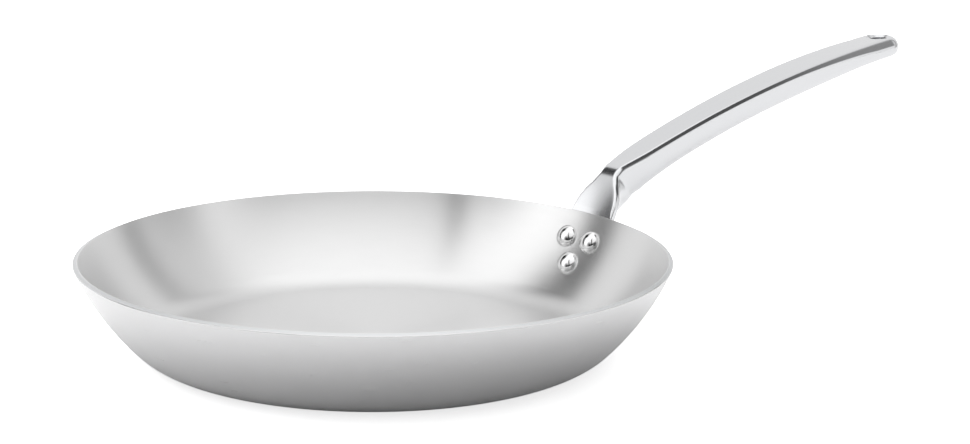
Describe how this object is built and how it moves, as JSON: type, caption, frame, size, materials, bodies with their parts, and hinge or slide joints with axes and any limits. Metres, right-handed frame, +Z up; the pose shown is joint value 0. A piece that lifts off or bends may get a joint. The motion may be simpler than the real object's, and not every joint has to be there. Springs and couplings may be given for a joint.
{
  "type": "omelette pan",
  "caption": "Low round pan of bonded sheet metal with a flared wall, domed rivets inside the rim and a long arched cast handle with a hanging hole at its end.",
  "frame": {"origin": "centre of the underside of the base, on the surface that the pan stands on", "axes": "+X from the bowl's centre towards the handle, +Z up; the pan is the same on both sides of the XZ plane"},
  "size_m": [0.5154, 0.2798, 0.119],
  "materials": {
    "cooking_surface": "stainless steel, satin, with fine circular brushing",
    "core": "plain rolled aluminium, seen only as a line in the rim",
    "outer_surface": "stainless steel, satin, with fine circular brushing",
    "handle": "cast stainless steel, polished to a soft sheen",
    "rivets": "stainless steel, polished bright"
  },
  "bodies": {
    "root": {"outer_skin": "outer_surface", "aluminium_core": "core", "cooking_skin": "cooking_surface", "handle": "handle", "rivet_upper_left": "rivets", "rivet_upper_right": "rivets", "rivet_lower": "rivets"}
  },
  "joints": []
}
